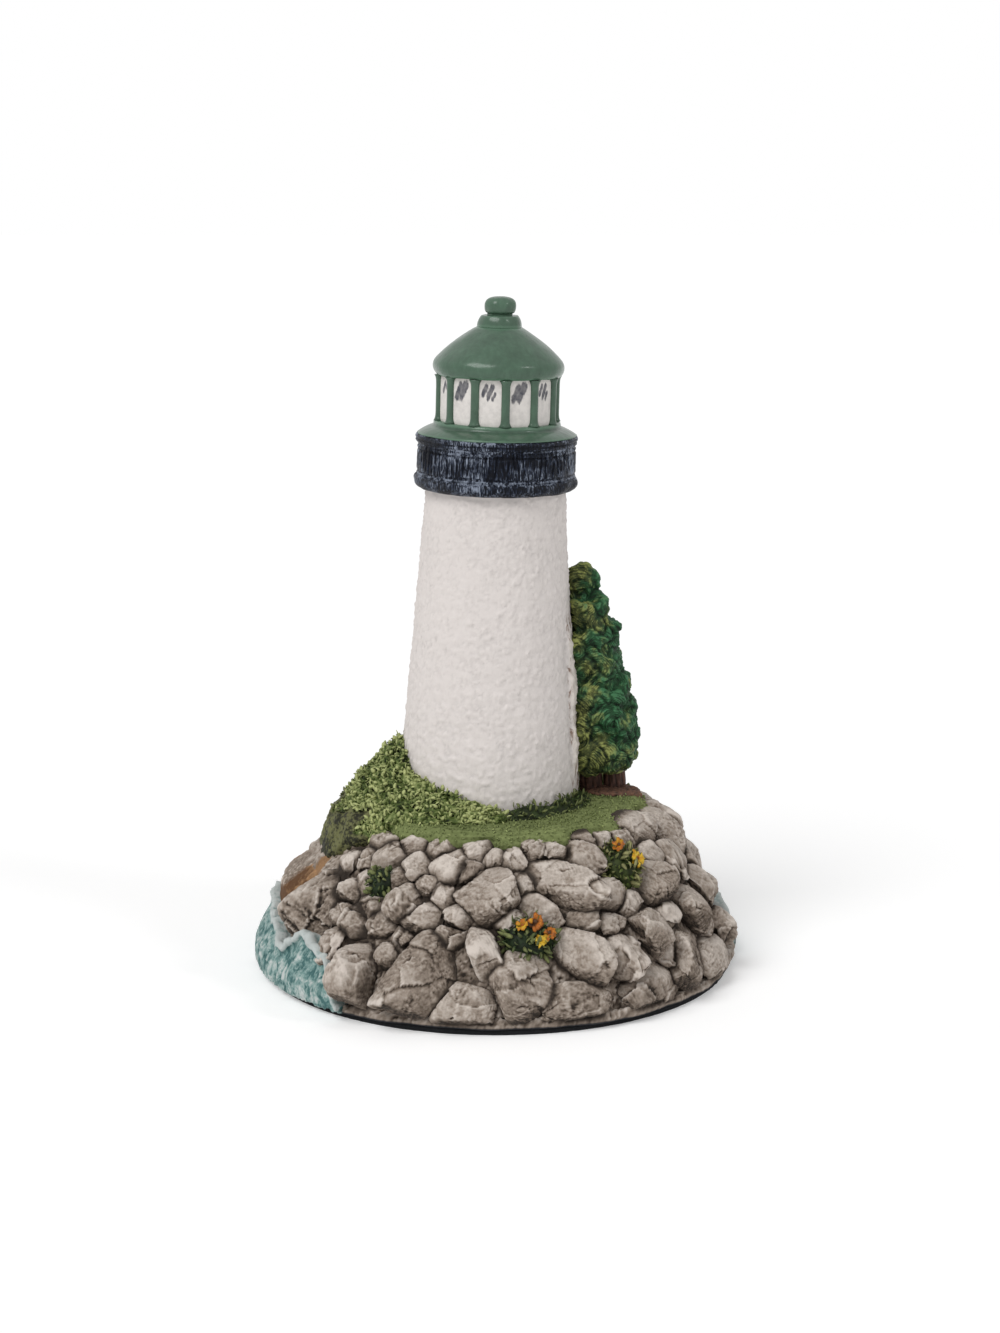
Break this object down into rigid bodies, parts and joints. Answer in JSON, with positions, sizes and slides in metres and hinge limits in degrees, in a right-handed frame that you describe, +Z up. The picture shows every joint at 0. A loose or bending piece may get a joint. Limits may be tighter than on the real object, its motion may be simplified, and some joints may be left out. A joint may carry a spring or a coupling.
{
  "type": "lighthouse figurine",
  "caption": "Small cast figurine of a white lighthouse with a green lantern on a headland of boulders, with sea, turf, ivy, a tree and flowers, on a felt foot.",
  "frame": {"origin": "middle of the round felt foot, on its underside", "axes": "+Z up through the finial; -Y is the front, where the two flower clumps are; +X is the side with the tree"},
  "size_m": [0.088, 0.0884, 0.12],
  "materials": {
    "felt": "dark navy felt",
    "rock": "cast resin, painted warm grey with a brown wash and pale dry-brushing",
    "sea": "cast resin, painted turquoise with white foam",
    "sand": "cast resin, painted sand",
    "turf": "cast resin, painted olive green",
    "ivy": "cast resin, dark green with light green dry-brushing",
    "grass": "cast resin, painted dark green",
    "mulch": "cast resin, painted brown",
    "bark": "cast resin, painted dark brown",
    "foliage": "cast resin, painted teal green to yellow green",
    "flower_leaf": "cast resin, painted dark green",
    "blossom": "cast resin, painted yellow and orange",
    "tower_white": "cast resin, off-white stucco",
    "gallery_navy": "cast resin, black-blue with blue-grey dry-brushing",
    "pane_white": "cast resin, painted white with dark smudges",
    "lantern_green": "cast resin, semi-gloss sage green"
  },
  "bodies": {
    "root": {"back_boulders": "rock", "beach": "sand", "blossoms_front": "blossom", "blossoms_side": "blossom", "brow_boulders": "rock", "felt_pad": "felt", "finial": "lantern_green", "foliage_tier_1": "foliage", "foliage_tier_2": "foliage", "foliage_tier_3": "foliage", "foliage_tier_4": "foliage", "foliage_tier_5": "foliage", "foliage_tier_6": "foliage", "foliage_tier_7": "foliage", "gallery_ledge": "gallery_navy", "gallery_parapet": "gallery_navy", "gallery_rail": "gallery_navy", "grass_fringe": "grass", "ivy_bank": "ivy", "lantern_core": "pane_white", "lantern_deck": "lantern_green", "leaves_front": "flower_leaf", "leaves_left": "flower_leaf", "leaves_side": "flower_leaf", "left_boulders": "rock", "middle_boulders": "rock", "mulch": "mulch", "mullion_01": "lantern_green", "mullion_02": "lantern_green", "mullion_03": "lantern_green", "mullion_04": "lantern_green", "mullion_05": "lantern_green", "mullion_06": "lantern_green", "mullion_07": "lantern_green", "mullion_08": "lantern_green", "mullion_09": "lantern_green", "mullion_10": "lantern_green", "mullion_11": "lantern_green", "mullion_12": "lantern_green", "right_boulders": "rock", "rock_mound": "rock", "roof": "lantern_green", "roof_vent": "lantern_green", "sea": "sea", "shore_boulders": "rock", "tower": "tower_white", "trunk_left": "bark", "trunk_right": "bark", "turf": "turf"}
  },
  "joints": []
}
